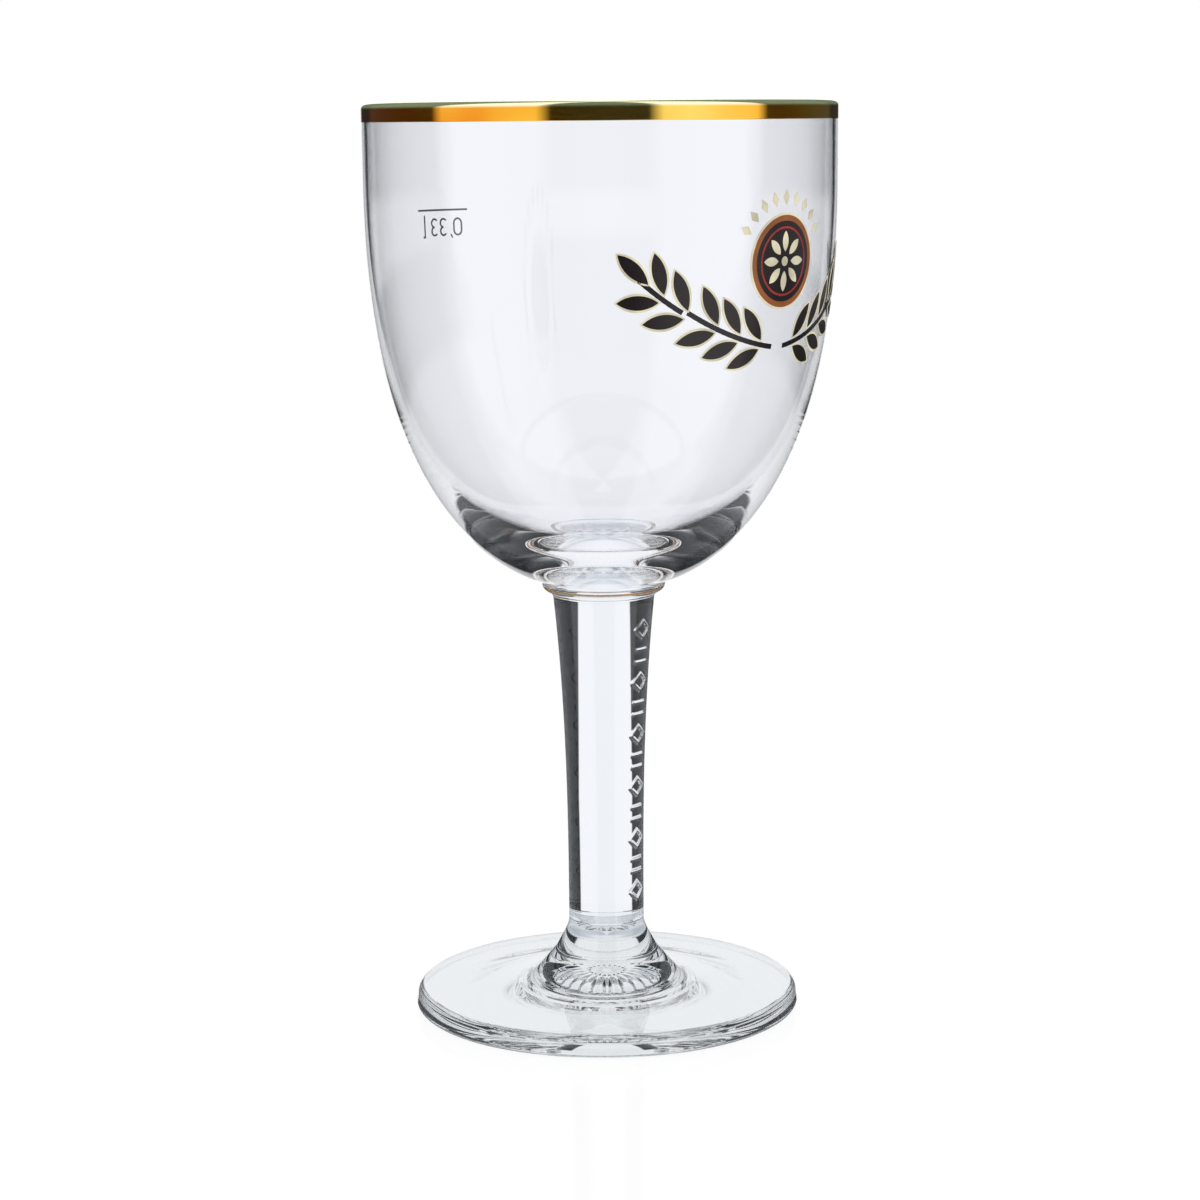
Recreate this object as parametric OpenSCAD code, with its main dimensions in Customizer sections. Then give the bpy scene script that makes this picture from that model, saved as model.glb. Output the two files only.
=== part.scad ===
// Chalice beer glass: a deep round bowl fused by a small collar to a tall
// tapered stem, on a round foot, with a gilded rim and fired enamel prints.
// The origin is the middle of the foot's resting plane, +Z is up, and the
// viewer stands at -Y. Azimuths turn from -Y towards +X.

/* [Bowl] */
// Outer diameter of the bowl's straight wall at the rim
bowl_d = 97; // [85:0.1:110]
// Height of the bowl from its joint with the collar to the top of the lip
bowl_h = 98.4; // [85:0.1:115]
// Height of the straight wall below the lip
bowl_straight_h = 15.3; // [10:0.1:20]
// Thickness of the wall in the upper bowl
bowl_wall = 1.1; // [0.8:0.1:1.6]
// Thickness of the glass under the middle of the bowl's floor
bowl_floor_t = 5.5; // [4:0.1:13]
// Thickness of the fire-polished lip
lip_t = 1.9; // [1.7:0.1:2.6]
// Height of the thickened lip's straight inner face
lip_h = 0.8; // [0.5:0.1:1]
// Height over which the wall thickens up to the lip
lip_taper_h = 1.6; // [1:0.1:3]

/* [Gold rim band] */
// Height of the gold band on the outside of the rim
band_h = 3.7; // [3:0.1:6]
// Thickness of the gold film, drawn thicker than the fired film
band_t = 0.1; // [0.05:0.01:0.2]

/* [Collar] */
// Diameter of the collar between the bowl and the stem
collar_d = 25.8; // [23:0.1:30]
// Height of the collar
collar_h = 2.9; // [2.8:0.1:5]
// Radius of the collar's round lower edge
collar_edge_r = 1.9; // [1:0.1:2]
// Height of the small bead round the top of the stem
collar_bead_h = 0.6; // [0.4:0.1:0.8]

/* [Stem] */
// Length of the stem between the foot's post and the collar
stem_h = 69.3; // [55:0.1:80]
// Diameter of the stem at its top
stem_top_d = 21.3; // [18:0.1:21.9]
// Diameter of the stem at its foot, and of the foot's post
stem_foot_d = 15.9; // [12:0.1:17]

/* [Stem relief] */
// Azimuth of the column of raised ornaments
relief_az = 53; // [0:1:90]
// Step from one ornament to the next
relief_pitch = 5.6; // [5.4:0.1:8]
// Length of one ornament along the stem
relief_len = 4.8; // [3:0.1:5.2]
// Width of one ornament across the stem
relief_w = 5.6; // [3:0.1:6]
// Width of the raised lines
relief_line = 0.9; // [0.5:0.1:1]
// Height of the raised lines above the stem
relief_rise = 0.3; // [0.2:0.05:0.6]
// Plain length of stem left at each end of the column
relief_margin = 3; // [1:0.1:8]

/* [Foot] */
// Diameter of the foot
foot_d = 81; // [70:0.1:95]
// Height of the foot from the resting plane to the joint with the stem
foot_h = 18.8; // [16:0.1:26]
// Height of the foot's upper edge corner
foot_edge_h = 4.7; // [3.6:0.1:6]
// Height at which the flare of the post turns into the foot's hollowed top
foot_crown_h = 12.2; // [10:0.1:14]
// Diameter at which the flare of the post turns into the foot's hollowed top
foot_flare_d = 21.6; // [19:0.1:28]
// Radius of the round edge at the resting plane
foot_round_low_r = 1.5; // [1:0.1:2]
// Radius of the round edge at the top corner
foot_round_top_r = 1.7; // [1:0.1:2]

/* [Underside of the foot] */
// Width of the flat ring that the glass rests on
rest_ring_w = 4; // [2:0.1:6]
// Depth of the shallow recess inside the resting ring
recess_h = 0.8; // [0.4:0.1:1.5]
// Width over which the recess deepens, inside the resting ring
recess_slope_w = 14; // [6:0.1:16]
// Diameter of the fluted dome at its mouth
dome_d = 16.8; // [14:0.1:17.5]
// Diameter of the plain disc at the dome's top
dome_top_d = 5.4; // [4:0.1:9]
// Height of the fluted dome above the recess
dome_h = 3.9; // [2:0.1:5.5]
// Number of flutes round the dome
dome_flutes = 20; // [12:1:28]
// Diameter of the outermost ring groove round the dome
groove_d = 34; // [34:0.1:44]
// Number of ring grooves
groove_count = 3; // [1:1:3]
// Step from one ring groove to the next
groove_pitch = 3.3; // [2.5:0.1:3.4]
// Width of a ring groove
groove_w = 2.2; // [1:0.1:2.4]
// Depth of a ring groove
groove_h = 0.3; // [0.2:0.1:0.9]

/* [Prints] */
// Thickness of the enamel prints, drawn thicker than the fired enamel
print_t = 0.08; // [0.05:0.01:0.2]
// Azimuth of the front print
print_az = 48; // [0:0.5:90]
// Depth of the medallion's middle below the lip
print_drop = 31; // [24:0.1:38]
// Radius of the medallion
medal_r = 9.4; // [7:0.1:11]
// Width of the cream keylines
key_w = 0.45; // [0.3:0.05:0.6]
// Width of the medallion's amber ring
amber_w = 1.1; // [0.6:0.1:1.5]
// Width of the medallion's thin red ring
red_w = 0.4; // [0.2:0.1:0.6]
// Length of one barley grain
grain_len = 8.2; // [6:0.1:10]
// Width of one barley grain
grain_w = 2.8; // [2:0.1:3.8]
// Number of grain pairs in an ear
grain_pairs = 5; // [3:1:5]
// Width of the ears' stalks
stalk_w = 1; // [0.5:0.1:1]

/* [Fill mark] */
// Depth of the fill line below the lip
fill_drop = 22.6; // [18:0.1:30]
// Azimuth of the fill mark, on the far side of the bowl
fill_az = 226.5; // [180:0.5:270]
// Length of the fill line
fill_len = 15; // [8:0.1:18]
// Height of the numerals
digit_h = 3.9; // [3:0.1:6]
// Width of the strokes
digit_stroke = 0.4; // [0.3:0.05:0.6]

/* [Hidden] */
$fn = 96;

// Heights of the joints, from the foot up
stem_z = foot_h;
collar_z = stem_z + stem_h;
bowl_z = collar_z + collar_h;
rim_z = bowl_z + bowl_h;

// Radii that several pieces share
bowl_r = bowl_d / 2;
inner_r = bowl_r - bowl_wall;
collar_r = collar_d / 2;
stem_top_r = stem_top_d / 2;
stem_foot_r = stem_foot_d / 2;
foot_r = foot_d / 2;
flare_r = foot_flare_d / 2;

// Steps along a curve, and the overrun of a cut
curve_steps = 28;
arc_steps = 10;
cut = 1;

// Points of a cubic curve from a to d, drawn towards b and c on the way
function curve(a, b, c, d, n) =
    [for (i = [0 : n]) let (t = i / n)
        pow(1 - t, 3) * a + 3 * pow(1 - t, 2) * t * b + 3 * (1 - t) * t * t * c + pow(t, 3) * d];

// Points of an arc round c, from angle a to angle b
function arc(c, r, a, b, n) =
    [for (i = [0 : n]) let (w = a + (b - a) * i / n) c + r * [cos(w), sin(w)]];

function reversed(p) = [for (i = [len(p) - 1 : -1 : 0]) p[i]];
function shifted(p, by) = [for (q = p) q + by];

// Handles of the bowl's outer curve: height of the upper one, then place of the lower one
belly_high_share = 0.209;
belly_low_shares = [0.359, 0.041];
// Handles of the bowl's inner curve: height of the upper one, then radius of the lower one
hollow_high_share = 0.225;
hollow_low_share = 0.58;

shoulder_z = rim_z - bowl_straight_h;
floor_z = bowl_z + bowl_floor_t;

// Outer curve of the bowl, from the collar up to the straight wall
bowl_outer = curve(
    [collar_r, bowl_z],
    [collar_r + (bowl_r - collar_r) * belly_low_shares[0], bowl_z + bowl_h * belly_low_shares[1]],
    [bowl_r, bowl_z + bowl_h * belly_high_share],
    [bowl_r, shoulder_z], curve_steps);

// Inner curve of the bowl, from the straight wall down to the middle of the floor
bowl_inner = curve(
    [inner_r, shoulder_z],
    [inner_r, bowl_z + bowl_h * hollow_high_share],
    [inner_r * hollow_low_share, floor_z],
    [0, floor_z], curve_steps);

// The lip is a half round on top of a wall of its own thickness
lip_r = lip_t / 2;
lip_c = [bowl_r - lip_r, rim_z - lip_r];
lip_low_z = rim_z - lip_r - lip_h;

module bowl() {
    color([0.86, 0.9, 0.93, 0.45])
    rotate_extrude()
    polygon(concat(
        [[0, bowl_z]],
        bowl_outer,
        arc(lip_c, lip_r, 0, 180, arc_steps),
        [[bowl_r - lip_t, lip_low_z], [inner_r, lip_low_z - lip_taper_h]],
        bowl_inner));
}

// The gold film runs up the outside of the rim, over the lip and down its inner face
module gold_rim_band() {
    color([0.86, 0.63, 0.2])
    rotate_extrude()
    polygon(concat(
        [[bowl_r, rim_z - band_h], [bowl_r + band_t, rim_z - band_h]],
        arc(lip_c, lip_r + band_t, 0, 180, arc_steps),
        [[bowl_r - lip_t - band_t, lip_low_z], [bowl_r - lip_t, lip_low_z]],
        arc(lip_c, lip_r, 180, 0, arc_steps)));
}

// The collar bulges under the bowl and ends in a small bead round the stem's top
bead_r = collar_bead_h / 2;
collar_round_r = min(collar_edge_r, collar_h - collar_bead_h);
collar_round_c = [collar_r - collar_round_r, collar_z + collar_bead_h + collar_round_r];

module collar() {
    color([0.8, 0.86, 0.9, 0.6])
    rotate_extrude()
    polygon(concat(
        [[0, collar_z]],
        arc([stem_top_r, collar_z + bead_r], bead_r, -90, 90, arc_steps),
        arc(collar_round_c, collar_round_r, -90, 0, arc_steps),
        [[collar_r, bowl_z], [0, bowl_z]]));
}

// Handles of the stem's taper, as shares of its height and of its narrowing
stem_high_shares = [0.03, 0.64];
stem_low_shares = [0, 0.3];
stem_narrowing = stem_top_r - stem_foot_r;

stem_side = curve(
    [stem_foot_r, stem_z],
    [stem_foot_r + stem_narrowing * stem_low_shares[0], stem_z + stem_h * stem_low_shares[1]],
    [stem_foot_r + stem_narrowing * stem_high_shares[0], stem_z + stem_h * stem_high_shares[1]],
    [stem_top_r, collar_z], curve_steps);

// A column of lozenges with pairs of bars between them
relief_room = stem_h - 2 * relief_margin - relief_len;
relief_last = floor(relief_room / relief_pitch);
relief_first_z = stem_z + stem_h / 2 - relief_last * relief_pitch / 2;

module lozenge(w, h) {
    polygon([[w / 2, 0], [0, h / 2], [-w / 2, 0], [0, -h / 2]]);
}

// A lozenge frame whose line has the same width all round
module lozenge_frame(w, h, line) {
    inset = line * sqrt(w * w + h * h);
    difference() {
        lozenge(w, h);
        lozenge(w - 2 * inset / h, h - 2 * inset / w);
    }
}

module bar_pair(w, h, line) {
    for (side = [-1, 1])
        translate([-w / 2, side * (h - line) / 2 - line / 2])
            square([w, line]);
}

// Carries a flat drawing outwards at an azimuth and height, from radius near to radius far
module outwards(az, z, near, far) {
    rotate([0, 0, az])
    translate([0, 0, z])
    rotate([90, 0, 0])
    translate([0, 0, near])
    linear_extrude(far - near)
        children();
}

// Width and length of a pair of bars, as shares of an ornament's own
bar_share = 0.72;

module stem_relief() {
    intersection() {
        rotate_extrude()
            polygon(concat(
                shifted(stem_side, [relief_rise, 0]),
                [[0, collar_z], [0, stem_z]]));
        for (i = [0 : relief_last])
            outwards(relief_az, relief_first_z + i * relief_pitch, 0, stem_top_d) {
                if (i % 2 == 0)
                    lozenge_frame(relief_w, relief_len, relief_line);
                else
                    bar_pair(relief_w * bar_share, relief_len * bar_share, relief_line);
            }
    }
}
module stem() {
    color([0.82, 0.87, 0.92, 0.6]) {
        rotate_extrude()
            polygon(concat(stem_side, [[0, collar_z], [0, stem_z]]));
        stem_relief();
    }
}

// Handles of the post's flare, as shares of its height and of its reach
flare_high_shares = [0, 0.75];
flare_low_shares = [0.35, 0.5];
flare_h = foot_h - foot_crown_h;
flare_reach = flare_r - stem_foot_r;

post_side = curve(
    [stem_foot_r, foot_h],
    [stem_foot_r + flare_reach * flare_high_shares[0], foot_crown_h + flare_h * flare_high_shares[1]],
    [stem_foot_r + flare_reach * flare_low_shares[0], foot_crown_h + flare_h * flare_low_shares[1]],
    [flare_r, foot_crown_h], curve_steps);

// The hollowed top runs from the flare out to the edge, steeply at first and nearly flat at its end.
// Handles of its curve, as shares of its reach and of its drop
hollow_near_shares = [0.22, 0.9];
hollow_far_shares = [0.08, 0.92];
flare_end = [flare_r, foot_crown_h];

// The edge leans in a little from its lower round to its top corner
edge_lean_share = 0.2;
edge_top_c = [foot_r - foot_round_top_r - foot_round_low_r * edge_lean_share,
              foot_edge_h - foot_round_top_r];
edge_low_c = [foot_r - foot_round_low_r, foot_round_low_r];
top_reach = edge_top_c[0] - flare_r;
top_drop = foot_crown_h - foot_edge_h;
hollow_far = flare_end + [top_reach * hollow_far_shares[0], -top_drop * hollow_far_shares[1]];
top_slope = atan2(hollow_far[1] - foot_edge_h, edge_top_c[0] - hollow_far[0]);
top_end = edge_top_c + foot_round_top_r * [sin(top_slope), cos(top_slope)];
hollow_top = curve(
    flare_end,
    flare_end + [top_reach * hollow_near_shares[0], -top_drop * hollow_near_shares[1]],
    hollow_far, top_end, curve_steps);

rest_r = foot_r - foot_round_low_r;
recess_r = rest_r - rest_ring_w;

// The recess deepens along a gentle S from the resting ring inwards
recess_slope = curve(
    [recess_r, 0],
    [recess_r - recess_slope_w / 2, 0],
    [recess_r - recess_slope_w / 2, recess_h],
    [recess_r - recess_slope_w, recess_h], curve_steps);

module foot_blank() {
    rotate_extrude()
    polygon(concat(
        [[0, foot_h]],
        post_side,
        hollow_top,
        arc(edge_top_c, foot_round_top_r, 90 - top_slope, 0, arc_steps),
        arc(edge_low_c, foot_round_low_r, 0, -90, arc_steps),
        recess_slope,
        [[0, recess_h]]));
}

module ring_groove(r) {
    rotate_extrude()
        polygon([[r + groove_w / 2, recess_h - cut],
                 [r + groove_w / 2, recess_h],
                 [r, recess_h + groove_h],
                 [r - groove_w / 2, recess_h],
                 [r - groove_w / 2, recess_h - cut]]);
}

// The dome's side follows a quarter of an oval from its mouth to the plain disc at its top.
// Its radius swells and shrinks once for each flute, less and less towards the top.
flute_share = 0.13;
flute_steps = 6;
dome_rings = 7;
dome_points = dome_flutes * flute_steps;
dome_top_r = dome_top_d / 2;

function dome_side(k) = let (w = 90 * k / dome_rings)
    [dome_top_r + (dome_d / 2 - dome_top_r) * cos(w), dome_h * sin(w)];

function fluted_ring(r, z, depth) =
    [for (i = [0 : dome_points - 1]) let (w = 360 * i / dome_points)
        concat((r - depth * (1 - cos(w * dome_flutes)) / 2) * [cos(w), sin(w)], z)];

module fluted_dome() {
    rings = concat(
        [fluted_ring(dome_d / 2, recess_h - cut, dome_d / 2 * flute_share)],
        [for (k = [0 : dome_rings]) let (q = dome_side(k))
            fluted_ring(q[0], recess_h + q[1], q[0] * flute_share)]);
    count = len(rings);
    polyhedron(
        points = [for (ring = rings) each ring],
        faces = concat(
            [[for (i = [0 : dome_points - 1]) i]],
            [for (k = [0 : count - 2]) for (i = [0 : dome_points - 1])
                let (j = (i + 1) % dome_points, low = k * dome_points, high = low + dome_points)
                    each [[low + i, high + i, high + j], [low + i, high + j, low + j]]],
            [[for (i = [dome_points - 1 : -1 : 0]) (count - 1) * dome_points + i]]));
}

module foot() {
    color([0.84, 0.89, 0.92, 0.55])
    difference() {
        foot_blank();
        for (i = [0 : groove_count - 1])
            ring_groove(groove_d / 2 - i * groove_pitch);
        fluted_dome();
    }
}

// The prints are thin skins cut from a shell that lies on the bowl's outside
module print_skin() {
    rotate_extrude()
    polygon(concat(
        shifted(bowl_outer, [print_t, 0]),
        [[bowl_r + print_t, rim_z - band_h], [bowl_r, rim_z - band_h]],
        reversed(bowl_outer)));
}

skin_near_share = 0.7;
module printed(az, z) {
    outwards(az, z, bowl_r * skin_near_share, bowl_r + cut)
        children();
}

// A grain is the lens where two equal circles overlap
module lens(w, h) {
    r = (w * w + h * h) / (4 * w);
    intersection() {
        translate([r - w / 2, 0]) circle(r);
        translate([w / 2 - r, 0]) circle(r);
    }
}

module ring(outer, inner) {
    difference() {
        circle(outer);
        circle(inner);
    }
}

print_z = rim_z - print_drop;

// Two ears of barley sweep up from below the medallion to both sides.
// An ear's line starts beside the middle and below it, and rises faster towards its tip.
grain_lean = 38;
grain_pitch = (grain_w + 2 * key_w) / sin(grain_lean);
ear_span = grain_pairs * grain_pitch;
ear_start_shares = [0.3, 1.75];
ear_start = [medal_r * ear_start_shares[0], -medal_r * ear_start_shares[1]];
ear_first_angle = 8;
ear_turn = 38;
ear_half_w = grain_len / 2 * sin(grain_lean) + stalk_w / 2 + key_w;
end_grain_share = 0.7;

// Direction of the ear's line, and its place along the wall and up, at distance d
function ear_angle(d) = ear_first_angle + ear_turn * d / (ear_span + grain_len);
ear_step_share = 0.25;
function ear_place(d) = d <= 0 ? ear_start :
    ear_place(d - grain_pitch * ear_step_share)
    + grain_pitch * ear_step_share * [cos(ear_angle(d)), sin(ear_angle(d))];

// Carries a flat drawing to a place on the wall, mirrored for the left ear
module on_ear(side, d, off, lean) {
    a = ear_angle(d);
    p = ear_place(d) + off * [-sin(a), cos(a)];
    turn = a + lean - 90;
    printed(print_az + side * p[0] / bowl_r * 180 / PI, print_z + p[1])
        rotate(side * turn)
            children();
}

module each_grain(side) {
    for (i = [0 : grain_pairs - 1])
        for (bank = [-1, 1])
            on_ear(side, (i + 1) * grain_pitch, bank * ear_half_w, bank * grain_lean)
                children();
    on_ear(side, ear_span + grain_len * end_grain_share, 0, 0)
        children();
}

// Each piece of stalk runs a little into the next
stalk_overlap_share = 1.3;
module stalks(side) {
    for (i = [0 : grain_pairs / ear_step_share + 1])
        on_ear(side, i * ear_step_share * grain_pitch, 0, 0)
            square([stalk_w, grain_pitch * ear_step_share * stalk_overlap_share], center = true);
}

// Rings of the medallion, from the outside in
amber_r = medal_r - key_w;
field_r = amber_r - amber_w;
red_outer_r = field_r - amber_w;
petal_reach = red_outer_r - red_w - key_w;
petals = 8;
petal_w_share = 0.3;
eye_share = 0.16;

module rosette() {
    for (i = [0 : petals - 1])
        rotate(360 * i / petals)
            translate([0, petal_reach * (1 + 2 * eye_share) / 2])
                lens(petal_reach * petal_w_share, petal_reach * (1 - 2 * eye_share));
    circle(petal_reach * eye_share);
}

module dark_print() {
    color([0.15, 0.1, 0.11])
    intersection() {
        print_skin();
        union() {
            printed(print_az, print_z)
                difference() {
                    circle(field_r);
                    ring(red_outer_r, red_outer_r - red_w);
                    rosette();
                }
            for (side = [-1, 1]) {
                each_grain(side)
                    lens(grain_w, grain_len);
                stalks(side);
            }
        }
    }
}

// A row of small lozenges follows the medallion's top at a distance
crown_count = 9;
crown_step = 15;
crown_gap = 3;
crown_w = 1.9;
crown_h = 3;
module crown() {
    for (i = [0 : crown_count - 1]) {
        w = (i - (crown_count - 1) / 2) * crown_step;
        p = (medal_r + crown_gap) * [sin(w), cos(w)];
        printed(print_az + p[0] / bowl_r * 180 / PI, print_z + p[1])
            rotate(-w)
                lozenge(crown_w, crown_h);
    }
}

module cream_print() {
    color([0.88, 0.84, 0.7])
    intersection() {
        print_skin();
        union() {
            printed(print_az, print_z) {
                ring(medal_r, amber_r);
                rosette();
            }
            for (side = [-1, 1])
                each_grain(side)
                    difference() {
                        lens(grain_w + 2 * key_w, grain_len + 2 * key_w);
                        lens(grain_w, grain_len);
                    }
            crown();
        }
    }
}

module amber_print() {
    color([0.6, 0.32, 0.1])
    intersection() {
        print_skin();
        printed(print_az, print_z)
            ring(amber_r, field_r);
    }
}

module red_print() {
    color([0.62, 0.1, 0.1])
    intersection() {
        print_skin();
        printed(print_az, print_z)
            ring(red_outer_r, red_outer_r - red_w);
    }
}

// Numerals are made of bars and round ends, with the stroke's width all round
digit_w_share = 0.65;
digit_w = digit_h * digit_w_share;
fill_z = rim_z - fill_drop;

module half_ring(r, upper) {
    intersection() {
        ring(r, r - digit_stroke);
        translate([-r, upper ? 0 : -r])
            square([2 * r, r]);
    }
}

module zero() {
    r = digit_w / 2;
    translate([0, digit_h / 2 - r])
        half_ring(r, true);
    translate([0, r - digit_h / 2])
        half_ring(r, false);
    for (x = [-r, r - digit_stroke])
        translate([x, r - digit_h / 2])
            square([digit_stroke, digit_h - digit_w]);
}

three_open_share = 0.45;

// A three is two rings, one on the other, without their left sides
module three() {
    r = (digit_h + digit_stroke) / 4;
    for (y = [-1, 1])
        translate([0, y * (digit_h / 2 - r)])
            difference() {
                ring(r, r - digit_stroke);
                translate([-2 * r, -r * three_open_share - (y > 0 ? r : 0)])
                    square([2 * r, r * (1 + 2 * three_open_share)]);
            }
}

module comma() {
    translate([0, -digit_h / 2])
        polygon([[digit_stroke, digit_stroke],
                 [0, digit_stroke],
                 [-digit_stroke, -digit_stroke],
                 [0, -digit_stroke]]);
}

// The litre sign is a tall stroke with a short foot, and reaches below the numerals
litre_rise_share = 1.24;
litre_drop_share = 0.58;

module litre_stroke() {
    translate([-digit_stroke / 2, -digit_h * litre_drop_share]) {
        square([digit_stroke, digit_h * litre_rise_share]);
        square([2 * digit_stroke, digit_stroke]);
    }
}

// Places of the nought, the comma, the threes and the litre sign along the mark, and the gap
// under the line, as shares of the numerals' height
mark_place_shares = [-1.22, -0.76, -0.15, 0.56, 1.38];
mark_gap_share = 0.38;

module fill_mark_print() {
    color([0.25, 0.28, 0.3])
    intersection() {
        print_skin();
        printed(fill_az, fill_z) {
            translate([-fill_len / 2, 0])
                square([fill_len, digit_stroke]);
            translate([0, -digit_h / 2 - digit_h * mark_gap_share])
                for (i = [0 : len(mark_place_shares) - 1])
                    translate([mark_place_shares[i] * digit_h, 0]) {
                        if (i == 0) zero();
                        else if (i == 1) comma();
                        else if (i == len(mark_place_shares) - 1) litre_stroke();
                        else three();
                    }
        }
    }
}

bowl();
collar();
stem();
foot();
gold_rim_band();
dark_print();
cream_print();
amber_print();
red_print();
fill_mark_print();
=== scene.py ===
# A chalice beer glass: foot, stem, collar and bowl of fused clear glass, a gilded rim and fired
# enamel. Lengths are in metres. +Z is up, and the photographed side faces -Y.
import math

import bmesh
import bpy
from mathutils import Euler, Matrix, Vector


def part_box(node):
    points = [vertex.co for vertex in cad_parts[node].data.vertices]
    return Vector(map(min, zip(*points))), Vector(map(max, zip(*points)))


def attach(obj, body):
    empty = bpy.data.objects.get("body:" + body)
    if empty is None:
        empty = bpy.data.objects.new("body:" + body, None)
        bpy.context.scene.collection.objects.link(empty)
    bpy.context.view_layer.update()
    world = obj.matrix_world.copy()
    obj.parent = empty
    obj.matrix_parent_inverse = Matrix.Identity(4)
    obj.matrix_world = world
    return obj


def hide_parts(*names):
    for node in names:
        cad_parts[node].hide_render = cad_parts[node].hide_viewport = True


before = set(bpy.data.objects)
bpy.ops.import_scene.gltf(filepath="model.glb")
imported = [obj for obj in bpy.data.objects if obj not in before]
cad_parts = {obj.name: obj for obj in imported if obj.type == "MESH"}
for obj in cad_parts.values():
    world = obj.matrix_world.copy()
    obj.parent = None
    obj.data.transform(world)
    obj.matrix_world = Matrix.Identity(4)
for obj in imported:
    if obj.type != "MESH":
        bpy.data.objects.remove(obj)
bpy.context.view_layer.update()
scene = bpy.context.scene


# Camera: a long lens at the height of the rim, pitched down, so that the rim is seen edge on
# and the foot from a little above. The camera leans a little, as the photograph does.
IMAGE_PX = 1200
SENSOR_MM = 36
FOCAL_PX = 2950
EYE_HEIGHT = 0.1857
EYE_DISTANCE = 0.6088
EYE_SIDE = -0.0008
PITCH = math.atan(479.5 / FOCAL_PX)
ROLL = math.radians(0.5)

lens = bpy.data.cameras.new("camera")
lens.sensor_width = SENSOR_MM
lens.lens = SENSOR_MM * FOCAL_PX / IMAGE_PX
camera = bpy.data.objects.new("camera", lens)
camera.location = (EYE_SIDE, -EYE_DISTANCE, EYE_HEIGHT)
aim = Euler((math.pi / 2 - PITCH, 0, 0)).to_matrix()
lean = Euler((0, 0, -ROLL)).to_matrix()
camera.rotation_euler = (aim @ lean).to_euler()
scene.collection.objects.link(camera)
scene.camera = camera


# Foot: a pressed round foot of clear soda-lime glass with a short flared post. Its underside has
# a shallow recess with ring grooves and a fluted dome, and it rests on the flat ring round them.
FOOT_EDGE_HEIGHT = 0.0047
FOOT_CROWN_HEIGHT = 0.0122
FOOT_FLARE_RADIUS = 0.0108
FOOT_LOW_ROUND = 0.0015
FOOT_TOP_ROUND = 0.0017
FOOT_EDGE_LEAN = 0.0003
POST_HANDLE_SHARES = (0.75, 0.35, 0.5)
HOLLOW_HANDLE_SHARES = (0.22, 0.9)
HOLLOW_END_SHARES = (0.08, 0.92)
REST_RING_WIDTH = 0.004
RECESS_DEPTH = 0.0008
RECESS_SLOPE = 0.014
GROOVE_RADIUS = 0.017
GROOVE_COUNT = 3
GROOVE_PITCH = 0.0033
GROOVE_WIDTH = 0.0022
GROOVE_DEPTH = 0.0003
DOME_RADIUS = 0.0084
DOME_TOP_RADIUS = 0.0027
DOME_HEIGHT = 0.0039
DOME_FLUTES = 20
FLUTE_DEPTH_SHARE = 0.13
POST_RADIUS = 0.00795
FOOT_STEPS = 360
POST_STEPS = 32
HOLLOW_STEPS = 64
SLOPE_STEPS = 24
DOME_STEPS = 12
FOOT_ROUND_STEPS = 10
FOOT_WAVE_MM = 9
WAVE_HEIGHT = 0.00001
HAIR = 0.00001
WELD_DISTANCE = 0.000001
GUARD_DISTANCE = 0.0001

foot_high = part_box("foot")[1]
foot_radius = foot_high.x


def curve(start, towards, before, end, steps):
    """Points of a cubic curve from start to end, as (radius, height)."""
    points = []
    for step in range(steps + 1):
        t = step / steps
        u = 1 - t
        weights = (u**3, 3 * u * u * t, 3 * u * t * t, t**3)
        corners = (start, towards, before, end)
        points.append(tuple(sum(w * c[axis] for w, c in zip(weights, corners)) for axis in (0, 1)))
    return points


def arc(centre, radius, start, end, steps):
    """Points of an arc from angle start to angle end, in degrees, as (radius, height)."""
    points = []
    for step in range(steps + 1):
        angle = math.radians(start + (end - start) * step / steps)
        points.append((centre[0] + radius * math.cos(angle), centre[1] + radius * math.sin(angle)))
    return points


def straight(start, end):
    """A straight stretch after start, with a point near each end, which keeps its shading flat."""
    share = GUARD_DISTANCE / math.dist(start, end)
    near = tuple(a + (b - a) * share for a, b in zip(start, end))
    far = tuple(b + (a - b) * share for a, b in zip(start, end))
    return [near, far, end]


def turned(name, profile, steps, shape=None):
    """A closed piece spun from a profile of (radius, height), each end of which is on the axis."""
    mesh = bpy.data.meshes.new(name)
    work = bmesh.new()
    corners = [work.verts.new((radius, 0, height)) for radius, height in profile]
    for first, second in zip(corners, corners[1:]):
        work.edges.new((first, second))
    bmesh.ops.spin(
        work, geom=work.verts[:] + work.edges[:], cent=(0, 0, 0), axis=(0, 0, 1),
        angle=2 * math.pi, steps=steps, use_merge=True, use_normal_flip=False,
    )
    bmesh.ops.remove_doubles(work, verts=work.verts[:], dist=WELD_DISTANCE)
    if shape:
        shape(work)
    bmesh.ops.recalc_face_normals(work, faces=work.faces[:])
    for face in work.faces:
        face.smooth = True
    work.to_mesh(mesh)
    work.free()
    piece = bpy.data.objects.new(name, mesh)
    scene.collection.objects.link(piece)
    return piece


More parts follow.
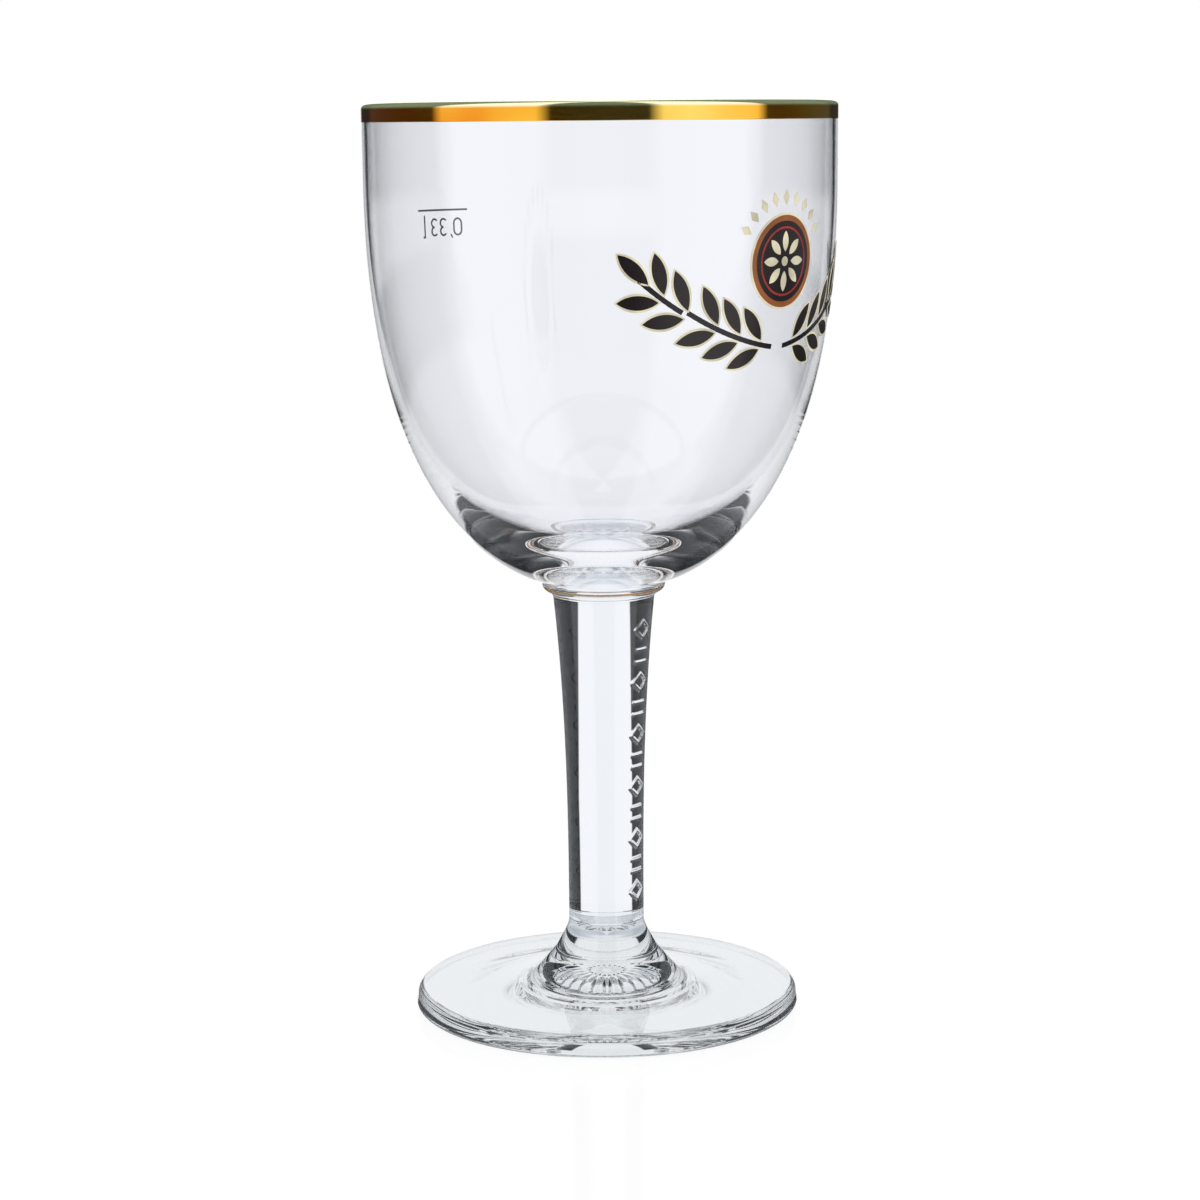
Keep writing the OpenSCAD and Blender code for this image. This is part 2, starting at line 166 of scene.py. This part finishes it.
edge_top_centre = (foot_radius - FOOT_TOP_ROUND - FOOT_EDGE_LEAN, FOOT_EDGE_HEIGHT - FOOT_TOP_ROUND)
edge_low_centre = (foot_radius - FOOT_LOW_ROUND, FOOT_LOW_ROUND)
top_reach = edge_top_centre[0] - FOOT_FLARE_RADIUS
top_drop = FOOT_CROWN_HEIGHT - FOOT_EDGE_HEIGHT
hollow_far = (FOOT_FLARE_RADIUS + HOLLOW_END_SHARES[0] * top_reach,
              FOOT_CROWN_HEIGHT - HOLLOW_END_SHARES[1] * top_drop)
top_slope = math.atan2(hollow_far[1] - FOOT_EDGE_HEIGHT, edge_top_centre[0] - hollow_far[0])
recess_radius = foot_radius - FOOT_LOW_ROUND - REST_RING_WIDTH
flare_height = foot_high.z - FOOT_CROWN_HEIGHT
flare_reach = FOOT_FLARE_RADIUS - POST_RADIUS

post_side = curve(
    (POST_RADIUS, foot_high.z),
    (POST_RADIUS, FOOT_CROWN_HEIGHT + POST_HANDLE_SHARES[0] * flare_height),
    (POST_RADIUS + POST_HANDLE_SHARES[1] * flare_reach,
     FOOT_CROWN_HEIGHT + POST_HANDLE_SHARES[2] * flare_height),
    (FOOT_FLARE_RADIUS, FOOT_CROWN_HEIGHT), POST_STEPS)
hollow_top = curve(
    (FOOT_FLARE_RADIUS, FOOT_CROWN_HEIGHT),
    (FOOT_FLARE_RADIUS + HOLLOW_HANDLE_SHARES[0] * top_reach,
     FOOT_CROWN_HEIGHT - HOLLOW_HANDLE_SHARES[1] * top_drop), hollow_far,
    (edge_top_centre[0] + FOOT_TOP_ROUND * math.sin(top_slope),
     edge_top_centre[1] + FOOT_TOP_ROUND * math.cos(top_slope)), HOLLOW_STEPS)
dome_side = [
    (DOME_TOP_RADIUS + (DOME_RADIUS - DOME_TOP_RADIUS) * math.cos(turn),
     RECESS_DEPTH + DOME_HEIGHT * math.sin(turn))
    for turn in (math.radians(90 * step / DOME_STEPS) for step in range(DOME_STEPS + 1))
]
underside = straight((foot_radius - FOOT_LOW_ROUND, 0), (recess_radius, 0))
underside += curve(
    (recess_radius, 0), (recess_radius - RECESS_SLOPE / 2, 0),
    (recess_radius - RECESS_SLOPE / 2, RECESS_DEPTH), (recess_radius - RECESS_SLOPE, RECESS_DEPTH),
    SLOPE_STEPS)[1:]
for groove in range(GROOVE_COUNT):
    middle = GROOVE_RADIUS - groove * GROOVE_PITCH
    underside += straight(underside[-1], (middle + GROOVE_WIDTH / 2, RECESS_DEPTH))
    underside += straight(underside[-1], (middle, RECESS_DEPTH + GROOVE_DEPTH))
    underside += straight(underside[-1], (middle - GROOVE_WIDTH / 2, RECESS_DEPTH))
foot_profile = (
    [(0, foot_high.z)] + post_side + hollow_top[1:]
    + arc(edge_top_centre, FOOT_TOP_ROUND, 90 - math.degrees(top_slope), 0, FOOT_ROUND_STEPS)
    + arc(edge_low_centre, FOOT_LOW_ROUND, 0, -90, FOOT_ROUND_STEPS) + underside
    + straight(underside[-1], (DOME_RADIUS, RECESS_DEPTH)) + dome_side[1:]
    + straight(dome_side[-1], (0, RECESS_DEPTH + DOME_HEIGHT))
)


def press_flutes(work):
    """Draws the dome's wall in between its flutes, less and less towards the top."""
    for corner in work.verts:
        radius = math.hypot(corner.co.x, corner.co.y)
        if corner.co.z > RECESS_DEPTH + DOME_HEIGHT + HAIR:
            continue
        if not DOME_TOP_RADIUS - HAIR <= radius <= DOME_RADIUS + HAIR:
            continue
        turn = math.atan2(corner.co.y, corner.co.x)
        share = 1 - FLUTE_DEPTH_SHARE * (1 - math.cos(turn * DOME_FLUTES)) / 2
        corner.co.x *= share
        corner.co.y *= share


def add(tree, kind, inputs=None, links=None, stops=None, **settings):
    """Adds a node with its settings, its sockets' values and the links that reach it."""
    made = tree.nodes.new(kind)
    for name, value in settings.items():
        setattr(made, name, value)
    for socket, value in (inputs or {}).items():
        made.inputs[socket].default_value = value
    for socket, source in (links or {}).items():
        tree.links.new(source, made.inputs[socket])
    if stops:
        elements = made.color_ramp.elements
        while len(elements) < len(stops):
            elements.new(1)
        for element, (place, colour) in zip(elements, stops):
            element.position = place
            element.color = colour
    return made


def shade(hex_colour):
    """A linear colour from an sRGB hex value."""
    channels = [int(hex_colour[place:place + 2], 16) / 255 for place in (1, 3, 5)]
    linear = [c / 12.92 if c <= 0.04045 else ((c + 0.055) / 1.055) ** 2.4 for c in channels]
    return (*linear, 1)


def new_material(name):
    material = bpy.data.materials.new(name)
    material.use_nodes = True
    material.node_tree.nodes.clear()
    return material, material.node_tree


def clear_glass(name, tint, wave_mm):
    """Clear soda-lime glass with a polished face, a little wavy from the mould, so that straight
    lines in it waver. It lets lamps through, so that its shadow stays light."""
    material, tree = new_material(name)
    place = add(tree, "ShaderNodeTexCoord")
    wave = add(tree, "ShaderNodeTexNoise", {"Scale": 1000 / wave_mm, "Detail": 1.0},
               {"Vector": place.outputs["Object"]})
    bump = add(tree, "ShaderNodeBump", {"Strength": 1.0, "Distance": WAVE_HEIGHT},
               {"Height": wave.outputs["Fac"]})
    glass = add(tree, "ShaderNodeBsdfPrincipled",
                {"Base Color": shade(tint), "Roughness": 0.0, "IOR": 1.52,
                 "Transmission Weight": 1.0},
                {"Normal": bump.outputs["Normal"]})
    through = add(tree, "ShaderNodeBsdfTransparent", {"Color": shade("#F4F6F8")})
    ray = add(tree, "ShaderNodeLightPath")
    mix = add(tree, "ShaderNodeMixShader", None,
              {0: ray.outputs["Is Shadow Ray"], 1: glass.outputs[0], 2: through.outputs[0]})
    add(tree, "ShaderNodeOutputMaterial", None, {"Surface": mix.outputs[0]})
    return material


def fused_joint():
    """Where two pieces are fused, the real glass has no surface, so nothing is seen there."""
    material, tree = new_material("fused_joint")
    through = add(tree, "ShaderNodeBsdfTransparent")
    add(tree, "ShaderNodeOutputMaterial", None, {"Surface": through.outputs[0]})
    return material


joint_material = fused_joint()


def dress(piece, material, joint_heights=()):
    """Gives a glass piece its material, and its flat faces at these heights the fused joint's."""
    piece.data.materials.append(material)
    piece.data.materials.append(joint_material)
    for face in piece.data.polygons:
        heights = [piece.data.vertices[corner].co.z for corner in face.vertices]
        if any(max(abs(h - joint) for h in heights) < WELD_DISTANCE for joint in joint_heights):
            face.material_index = 1
            face.use_smooth = False


foot = turned("foot_glass", foot_profile, FOOT_STEPS, press_flutes)
dress(foot, clear_glass("pressed_soda_lime_glass_foot", "#E6EAED", FOOT_WAVE_MM), (foot_high.z,))
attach(foot, "root")
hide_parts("foot")


# Stem: a solid tapered stem of pressed glass, fused to the foot's post below and to the collar
# above, with a column of raised lozenges and bars down its front right side.
STEM_TOP_RADIUS = 0.01065
STEM_ROWS = 300
TURN_STEPS = 288
STEM_WAVE_MM = 14
RELIEF_AZIMUTH = math.radians(53)
RELIEF_PITCH = 0.0056
RELIEF_LENGTH = 0.0048
RELIEF_WIDTH = 0.0056
RELIEF_LINE = 0.0009
RELIEF_RISE = 0.0003
RELIEF_COUNT = 11
BAR_SHARE = 0.72
STEM_HANDLE_SHARES = (0.3, 0.03, 0.64)

stem_low, stem_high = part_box("stem")
stem_height = stem_high.z - stem_low.z
stem_side = curve(
    (POST_RADIUS, stem_low.z), (POST_RADIUS, stem_low.z + STEM_HANDLE_SHARES[0] * stem_height),
    (POST_RADIUS + STEM_HANDLE_SHARES[1] * (STEM_TOP_RADIUS - POST_RADIUS),
     stem_low.z + STEM_HANDLE_SHARES[2] * stem_height),
    (STEM_TOP_RADIUS, stem_high.z), STEM_ROWS)
relief_first = (stem_low.z + stem_high.z) / 2 - (RELIEF_COUNT - 1) * RELIEF_PITCH / 2


def relief_rise(across, along, index):
    """Height of the raised line at a place on an ornament: a lozenge frame or a pair of bars."""
    if index % 2 == 0:
        slope = RELIEF_WIDTH / RELIEF_LENGTH
        reach = (abs(across) + abs(along) * slope - RELIEF_WIDTH / 2) / math.hypot(1, slope)
        off = abs(reach + RELIEF_LINE / 2)
    else:
        bar_place = (RELIEF_LENGTH * BAR_SHARE - RELIEF_LINE) / 2
        beyond = max(abs(across) - RELIEF_WIDTH * BAR_SHARE / 2 + RELIEF_LINE / 2, 0)
        off = math.hypot(abs(abs(along) - bar_place), beyond)
    edge = max(0.0, 1 - off / (RELIEF_LINE / 2))
    return RELIEF_RISE * min(1.0, edge * (2 - edge))


def raise_ornaments(work):
    for corner in work.verts:
        radius = math.hypot(corner.co.x, corner.co.y)
        if radius < POST_RADIUS / 2:
            continue
        index = round((corner.co.z - relief_first) / RELIEF_PITCH)
        if not 0 <= index < RELIEF_COUNT:
            continue
        turn = math.atan2(corner.co.x, -corner.co.y) - RELIEF_AZIMUTH
        rise = relief_rise(turn * radius, corner.co.z - relief_first - index * RELIEF_PITCH, index)
        corner.co.x *= 1 + rise / radius
        corner.co.y *= 1 + rise / radius


stem_profile = [(0, stem_low.z)] + stem_side + [(0, stem_high.z)]
stem = turned("stem_glass", stem_profile, TURN_STEPS, raise_ornaments)
dress(stem, clear_glass("pressed_soda_lime_glass_stem", "#F3F6FB", STEM_WAVE_MM),
      (stem_low.z, stem_high.z))
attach(stem, "root")
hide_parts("stem")


# Collar: the disc of glass between the stem and the bowl, with a small bead round the stem's top.
# It is clear soda-lime glass, pressed with the stem, and the bowl is fused on to its flat top.
COLLAR_EDGE_ROUND = 0.0019
COLLAR_BEAD = 0.0003
COLLAR_ROUND_STEPS = 12
BEAD_STEPS = 16
COLLAR_WAVE_MM = 12

collar_low, collar_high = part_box("collar")
collar_radius = collar_high.x
collar_profile = (
    [(0, collar_low.z)]
    + arc((STEM_TOP_RADIUS, collar_low.z + COLLAR_BEAD), COLLAR_BEAD, -90, 90, BEAD_STEPS)
    + arc((collar_radius - COLLAR_EDGE_ROUND, collar_low.z + 2 * COLLAR_BEAD + COLLAR_EDGE_ROUND),
          COLLAR_EDGE_ROUND, -90, 0, COLLAR_ROUND_STEPS)
    + [(collar_radius, collar_high.z), (0, collar_high.z)]
)
collar = turned("collar_glass", collar_profile, TURN_STEPS)
dress(collar, clear_glass("fused_soda_lime_glass_collar", "#F3F6FB", COLLAR_WAVE_MM),
      (collar_low.z, collar_high.z))
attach(collar, "root")
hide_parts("collar")


# Bowl: a deep round bowl with a thick floor, a thin wall and a rounded lip. It is clear soda-lime
# glass, blown into a turning mould, fused on to the collar and fire-polished at the lip.
BOWL_WALL = 0.0011
BOWL_FLOOR = 0.0055
BOWL_STRAIGHT = 0.0153
LIP_THICKNESS = 0.0019
LIP_HEIGHT = 0.0008
LIP_TAPER = 0.0016
OUTER_HANDLE_SHARES = (0.359, 0.041, 0.209)
INNER_HANDLE_SHARES = (0.225, 0.58)
BOWL_STEPS = 96
LIP_STEPS = 16
BOWL_WAVE_MM = 30

bowl_low, bowl_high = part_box("bowl")
bowl_radius = bowl_high.x
bowl_height = bowl_high.z - bowl_low.z
inner_radius = bowl_radius - BOWL_WALL
shoulder = bowl_high.z - BOWL_STRAIGHT
floor_height = bowl_low.z + BOWL_FLOOR
lip_round = LIP_THICKNESS / 2
lip_centre = (bowl_radius - lip_round, bowl_high.z - lip_round)
lip_low = bowl_high.z - lip_round - LIP_HEIGHT

bowl_outer = curve(
    (collar_radius, bowl_low.z),
    (collar_radius + OUTER_HANDLE_SHARES[0] * (bowl_radius - collar_radius),
     bowl_low.z + OUTER_HANDLE_SHARES[1] * bowl_height),
    (bowl_radius, bowl_low.z + OUTER_HANDLE_SHARES[2] * bowl_height), (bowl_radius, shoulder),
    BOWL_STEPS)
bowl_inner = curve(
    (inner_radius, shoulder), (inner_radius, bowl_low.z + INNER_HANDLE_SHARES[0] * bowl_height),
    (INNER_HANDLE_SHARES[1] * inner_radius, floor_height), (0, floor_height), BOWL_STEPS)
lip_inside = straight((bowl_radius - LIP_THICKNESS, lip_centre[1]),
                      (bowl_radius - LIP_THICKNESS, lip_low))
lip_inside += straight(lip_inside[-1], (inner_radius, lip_low - LIP_TAPER))
bowl_profile = (
    [(0, bowl_low.z)] + bowl_outer + straight(bowl_outer[-1], (bowl_radius, lip_centre[1]))
    + arc(lip_centre, lip_round, 0, 180, LIP_STEPS) + lip_inside
    + straight(lip_inside[-1], (inner_radius, shoulder)) + bowl_inner[1:]
)
bowl = turned("bowl_glass", bowl_profile, TURN_STEPS)
dress(bowl, clear_glass("blown_soda_lime_glass_bowl", "#F9FAFD", BOWL_WAVE_MM), (bowl_low.z,))
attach(bowl, "root")
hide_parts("bowl")


# Gold rim band: a film of bright gold over the lip and a little way down the outside of the bowl.
# It is brushed on as liquid gold while the glass turns, and then fired to a mirror gloss.
BAND_HEIGHT = 0.0037
BAND_FILM = 0.0001
PALE_FROM = -0.0002
PALE_TO = 0.0003
# Painted shade on the rim's left side: full at the first X, gone by the second
PAINTED_SHADE_FULL_X = -0.034
PAINTED_SHADE_END_X = -0.02
FILM_PATCH_MM = 40
STREAK_MM = 8
STREAK_STRETCH = 14
STREAK_HEIGHT = 0.000004

band_low = bowl_high.z - BAND_HEIGHT
gilt_radius = bowl_radius + BAND_FILM
gilt_inside = bowl_radius - LIP_THICKNESS - BAND_FILM
band_profile = (
    [(bowl_radius, band_low)] + straight((bowl_radius, band_low), (gilt_radius, band_low))
    + straight((gilt_radius, band_low), (gilt_radius, lip_centre[1]))
    + arc(lip_centre, lip_round + BAND_FILM, 0, 180, LIP_STEPS)
    + straight((gilt_inside, lip_centre[1]), (gilt_inside, lip_low))
    + [(bowl_radius - LIP_THICKNESS, lip_low)]
    + arc(lip_centre, lip_round, 180, 0, LIP_STEPS) + [(bowl_radius, band_low)]
)
band = turned("gold_rim_film", band_profile, TURN_STEPS)


def fired_gold():
    """Fired bright gold: a mirror of yellow metal, redder where the film is thin, with faint brush
    streaks round the rim, drawn coarser than real ones, which are too fine to show. Towards the
    left side of the rim the gold is also redder and darker, as painted shade. On top of the lip the
    film is so thin that it looks pale and greenish."""
    material, tree = new_material("fired_bright_gold")
    place = add(tree, "ShaderNodeTexCoord")
    parts = add(tree, "ShaderNodeSeparateXYZ", None, {0: place.outputs["Object"]})
    top = add(tree, "ShaderNodeMapRange",
              {"From Min": lip_centre[1] + PALE_FROM, "From Max": lip_centre[1] + PALE_TO},
              {"Value": parts.outputs["Z"]})
    patch = add(tree, "ShaderNodeTexNoise", {"Scale": 1000 / FILM_PATCH_MM, "Detail": 2.0},
                {"Vector": place.outputs["Object"]})
    # Painted shade: the gold turns redder and darker towards the left side of the rim, at -X, added
    # to the film's own uneven depth
    painted_side_shade = add(tree, "ShaderNodeMapRange",
                  {"From Min": PAINTED_SHADE_FULL_X, "From Max": PAINTED_SHADE_END_X, "To Min": -0.14, "To Max": 0.03},
                  {"Value": parts.outputs["X"]})
    depth = add(tree, "ShaderNodeMath", None, {0: patch.outputs["Fac"], 1: painted_side_shade.outputs[0]},
                operation="ADD")
    film = add(tree, "ShaderNodeValToRGB", None, {0: depth.outputs[0]}, stops=[
        (0.33, shade("#F08A22")), (0.47, shade("#FFC03C")), (0.62, shade("#FFDF70"))])
    pale = add(tree, "ShaderNodeMix", {7: shade("#FFF2CC")},
               {"Factor": top.outputs[0], 6: film.outputs[0]}, data_type="RGBA")
    flat = add(tree, "ShaderNodeMapping", None, {"Vector": place.outputs["Object"]})
    flat.inputs["Scale"].default_value = (1, 1, STREAK_STRETCH)
    streak = add(tree, "ShaderNodeTexNoise", {"Scale": 1000 / STREAK_MM, "Detail": 3.0},
                 {"Vector": flat.outputs["Vector"]})
    rough = add(tree, "ShaderNodeMapRange", {"To Min": 0.03, "To Max": 0.1},
                {"Value": streak.outputs["Fac"]})
    bump = add(tree, "ShaderNodeBump", {"Strength": 1.0, "Distance": STREAK_HEIGHT},
               {"Height": streak.outputs["Fac"]})
    gold = add(tree, "ShaderNodeBsdfPrincipled", {"Metallic": 1.0},
               {"Base Color": pale.outputs[2], "Roughness": rough.outputs[0],
                "Normal": bump.outputs["Normal"]})
    green = add(tree, "ShaderNodeMix", {6: (0, 0, 0, 1), 7: (0.15, 0.2, 0.1, 1)},
                {"Factor": top.outputs[0]}, data_type="RGBA")
    thin = add(tree, "ShaderNodeBsdfDiffuse", None, {"Color": green.outputs[2]})
    both = add(tree, "ShaderNodeAddShader", None, {0: gold.outputs[0], 1: thin.outputs[0]})
    add(tree, "ShaderNodeOutputMaterial", None, {"Surface": both.outputs[0]})
    return material


band.data.materials.append(fired_gold())
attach(band, "root")
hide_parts("gold_rim_band")


# Prints: a round medallion between two ears of grain on the front of the bowl, and the fill line on
# the far wall. They are enamel inks, screened on to the glass and fired to a satin film. The CAD
# solids show themselves here, each with its own ink.
INK_PATCH_MM = 5
MESH_MM = 0.4
MESH_HEIGHT = 0.000006
GLOSS_SPREAD = 0.08


def fired_enamel(name, colour, roughness):
    """A fired ink, a little uneven in depth and gloss, with the grain of the screen's mesh, which
    is drawn coarser than the real one, because that is too fine to show."""
    material, tree = new_material(name)
    place = add(tree, "ShaderNodeTexCoord")
    patch = add(tree, "ShaderNodeTexNoise", {"Scale": 1000 / INK_PATCH_MM, "Detail": 3.0},
                {"Vector": place.outputs["Object"]})
    full = shade(colour)
    deep = tuple(c * 0.72 for c in full[:3]) + (1,)
    pale = tuple(c * 1.25 + 0.002 for c in full[:3]) + (1,)
    ink = add(tree, "ShaderNodeValToRGB", None, {0: patch.outputs["Fac"]}, stops=[
        (0.3, deep), (0.5, full), (0.7, pale)])
    mesh = add(tree, "ShaderNodeTexNoise", {"Scale": 1000 / MESH_MM, "Detail": 1.0},
               {"Vector": place.outputs["Object"]})
    rough = add(tree, "ShaderNodeMapRange",
                {"To Min": roughness - GLOSS_SPREAD, "To Max": roughness + GLOSS_SPREAD},
                {"Value": mesh.outputs["Fac"]})
    bump = add(tree, "ShaderNodeBump", {"Strength": 1.0, "Distance": MESH_HEIGHT},
               {"Height": mesh.outputs["Fac"]})
    enamel = add(tree, "ShaderNodeBsdfPrincipled", {"IOR": 1.5},
                 {"Base Color": ink.outputs[0], "Roughness": rough.outputs[0],
                  "Normal": bump.outputs["Normal"]})
    add(tree, "ShaderNodeOutputMaterial", None, {"Surface": enamel.outputs[0]})
    return material


PRINTS = {
    "dark_print": ("fired_enamel_brown_black", "#1C0E11", 0.3),
    "cream_print": ("fired_enamel_cream", "#DDD5B6", 0.4),
    "amber_print": ("fired_enamel_amber", "#8E4F1E", 0.35),
    "red_print": ("fired_enamel_red", "#9C221E", 0.35),
    "fill_mark_print": ("fired_enamel_grey", "#33363F", 0.4),
}
for print_name, finish in PRINTS.items():
    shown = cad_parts[print_name]
    shown.data.materials.clear()
    shown.data.materials.append(fired_enamel(*finish))


# Studio: a white backdrop behind the glass, a white table under it, tall dark cards at both sides,
# soft boxes in front of them and a dim ceiling, all shown by the world to reflections and through
# the glass. The camera sees plain white.
BACKDROP_EDGE = 18.5
BACKDROP_BLUR = 0.6
BACKDROP_WIDENING = 15
WIDENED_AT = -0.2
CARD_EDGE = 96
CARD_EDGE_BLUR = 3
CARD_LOW = -18
CARD_LOW_BLUR = 1.5
CARD_TOP = 47
CARD_TOP_BLUR = 4
CARD_LOW_COLOUR = (0.012, 0.014, 0.016, 1)
CARD_HIGH_COLOUR = (0.022, 0.025, 0.03, 1)
CEILING = (0.3, 0.3, 0.3, 1)
BLACK = (0, 0, 0, 1)
WHITE = (1, 1, 1, 1)


def level(degrees):
    """Place of an elevation on a ramp that runs over all heights."""
    return (math.sin(math.radians(degrees)) + 1) / 2


def studio():
    world = bpy.data.worlds.new("studio")
    scene.world = world
    world.use_nodes = True
    tree = world.node_tree
    tree.nodes.clear()

    # Turn from the backdrop towards the front, as a share of a half turn, and height as a share
    place = add(tree, "ShaderNodeTexCoord")
    parts = add(tree, "ShaderNodeSeparateXYZ", None, {0: place.outputs["Generated"]})
    side = add(tree, "ShaderNodeMath", None, {0: parts.outputs["X"]}, operation="ABSOLUTE")
    angle = add(tree, "ShaderNodeMath", None, {0: side.outputs[0], 1: parts.outputs["Y"]},
                operation="ARCTAN2")
    turn = add(tree, "ShaderNodeMath", {1: math.pi}, {0: angle.outputs[0]}, operation="DIVIDE")
    height = add(tree, "ShaderNodeMath", {1: 0.5, 2: 0.5}, {0: parts.outputs["Z"]},
                 operation="MULTIPLY_ADD")

    # The backdrop looks wider from lower down
    wider = add(tree, "ShaderNodeMapRange",
                {"From Min": WIDENED_AT, "From Max": 0,
                 "To Min": -BACKDROP_WIDENING / 180, "To Max": 0},
                {"Value": parts.outputs["Z"]})
    moved = add(tree, "ShaderNodeMath", None, {0: turn.outputs[0], 1: wider.outputs[0]},
                operation="ADD")
    across = add(tree, "ShaderNodeValToRGB", None, {0: moved.outputs[0]}, stops=[
        ((BACKDROP_EDGE - BACKDROP_BLUR) / 180, BLACK),
        ((BACKDROP_EDGE + BACKDROP_BLUR) / 180, WHITE),
        ((CARD_EDGE - CARD_EDGE_BLUR) / 180, WHITE), ((CARD_EDGE + CARD_EDGE_BLUR) / 180, BLACK)])
    upright = add(tree, "ShaderNodeValToRGB", None, {0: height.outputs[0]}, stops=[
        (level(CARD_LOW - CARD_LOW_BLUR), BLACK), (level(CARD_LOW + CARD_LOW_BLUR), WHITE),
        (level(CARD_TOP - CARD_TOP_BLUR), WHITE), (level(CARD_TOP + CARD_TOP_BLUR), BLACK)])
    card = add(tree, "ShaderNodeMath", None, {0: across.outputs[0], 1: upright.outputs[0]},
               operation="MULTIPLY")
    dark = add(tree, "ShaderNodeValToRGB", None, {0: height.outputs[0]}, stops=[
        (level(-3), CARD_LOW_COLOUR), (level(5), CARD_HIGH_COLOUR)])
    walls = add(tree, "ShaderNodeValToRGB", None, {0: height.outputs[0]}, stops=[
        (level(45), WHITE), (level(60), CEILING)])

    # The table is lit most behind the glass and least beside it
    table = add(tree, "ShaderNodeValToRGB", None, {0: turn.outputs[0]}, stops=[
        (0.05, (0.97, 0.98, 1, 1)), (0.16, (0.9, 0.92, 0.94, 1)), (0.3, (0.6, 0.63, 0.68, 1)),
        (0.5, (0.75, 0.77, 0.8, 1)), (0.8, (0.85, 0.86, 0.88, 1))])
    below = add(tree, "ShaderNodeValToRGB", None, {0: height.outputs[0]}, stops=[
        (level(-34), WHITE), (level(-26), BLACK)])
    lit = add(tree, "ShaderNodeMix", None,
              {"Factor": below.outputs[0], 6: walls.outputs[0], 7: table.outputs[0]},
              data_type="RGBA")
    seen = add(tree, "ShaderNodeMix", None,
               {"Factor": card.outputs[0], 6: lit.outputs[2], 7: dark.outputs[0]}, data_type="RGBA")

    near_black = (0.03, 0.033, 0.04, 1)
    mirrored = add(tree, "ShaderNodeValToRGB", None, {0: turn.outputs[0]}, stops=[
        (13 / 180, WHITE), (15 / 180, near_black), (34 / 180, near_black),
        (40 / 180, (0.08, 0.08, 0.08, 1)), (94 / 180, (0.06, 0.06, 0.06, 1)), (100 / 180, WHITE),
        (150 / 180, WHITE), (157 / 180, near_black)])
    # The white table in front is mirrored too, as a light strip under the horizon
    sheen = add(tree, "ShaderNodeValToRGB", None, {0: height.outputs[0]}, stops=[
        (level(-30), (0.25, 0.26, 0.28, 1)), (level(-22), near_black), (level(-7.5), near_black),
        (level(-6), (0.85, 0.86, 0.88, 1)), (level(-2.5), (0.85, 0.86, 0.88, 1)),
        (level(-1.5), BLACK)])
    front = add(tree, "ShaderNodeMapRange", {"From Min": 31 / 180, "From Max": 36 / 180},
                {"Value": turn.outputs[0]})
    shiny = add(tree, "ShaderNodeMix", None,
                {"Factor": front.outputs[0], 6: mirrored.outputs[0], 7: sheen.outputs[0]},
                data_type="RGBA", blend_type="LIGHTEN")
    ray = add(tree, "ShaderNodeLightPath")
    glossy = add(tree, "ShaderNodeMix", {6: WHITE},
                 {"Factor": ray.outputs["Is Glossy Ray"], 7: shiny.outputs[2]}, data_type="RGBA")
    both = add(tree, "ShaderNodeMix", None,
               {"Factor": ray.outputs["Is Transmission Ray"], 6: glossy.outputs[2],
                7: seen.outputs[2]}, data_type="RGBA")
    light = add(tree, "ShaderNodeBackground", {"Strength": 1.0}, {"Color": both.outputs[2]})
    add(tree, "ShaderNodeOutputWorld", None, {"Surface": light.outputs[0]})


studio()


# Floor: a pale acrylic sheet that takes a faint shadow and a fainter reflection of the glass.
# Through the glass itself the studio's own table shows in its place.
FLOOR_SIZE = 3
FLOOR_DROP = 0.00002
FLOOR_GLOW = 0.9
FLOOR_GLOSS_SHARE = 0.04


def acrylic_sheet():
    mesh = bpy.data.meshes.new("floor")
    work = bmesh.new()
    bmesh.ops.create_grid(work, x_segments=1, y_segments=1, size=FLOOR_SIZE)
    bmesh.ops.translate(work, verts=work.verts[:], vec=(0, 0, -FLOOR_DROP))
    work.to_mesh(mesh)
    work.free()
    floor = bpy.data.objects.new("floor", mesh)
    scene.collection.objects.link(floor)
    material, tree = new_material("pale_acrylic")
    glow = add(tree, "ShaderNodeEmission", {"Color": WHITE, "Strength": FLOOR_GLOW})
    matte = add(tree, "ShaderNodeBsdfDiffuse", {"Color": (0.12, 0.12, 0.12, 1)})
    both = add(tree, "ShaderNodeAddShader", None, {0: glow.outputs[0], 1: matte.outputs[0]})
    gloss = add(tree, "ShaderNodeBsdfGlossy", {"Color": WHITE, "Roughness": 0.12})
    mix = add(tree, "ShaderNodeMixShader", {0: FLOOR_GLOSS_SHARE},
              {1: both.outputs[0], 2: gloss.outputs[0]})
    add(tree, "ShaderNodeOutputMaterial", None, {"Surface": mix.outputs[0]})
    mesh.materials.append(material)
    floor.visible_transmission = False
    floor.visible_glossy = False
    floor.visible_diffuse = False


acrylic_sheet()

scene.view_settings.view_transform = "Standard"
scene.cycles.max_bounces = 64
scene.cycles.transmission_bounces = 64
scene.cycles.glossy_bounces = 48
scene.cycles.transparent_max_bounces = 32
scene.cycles.use_denoising = True
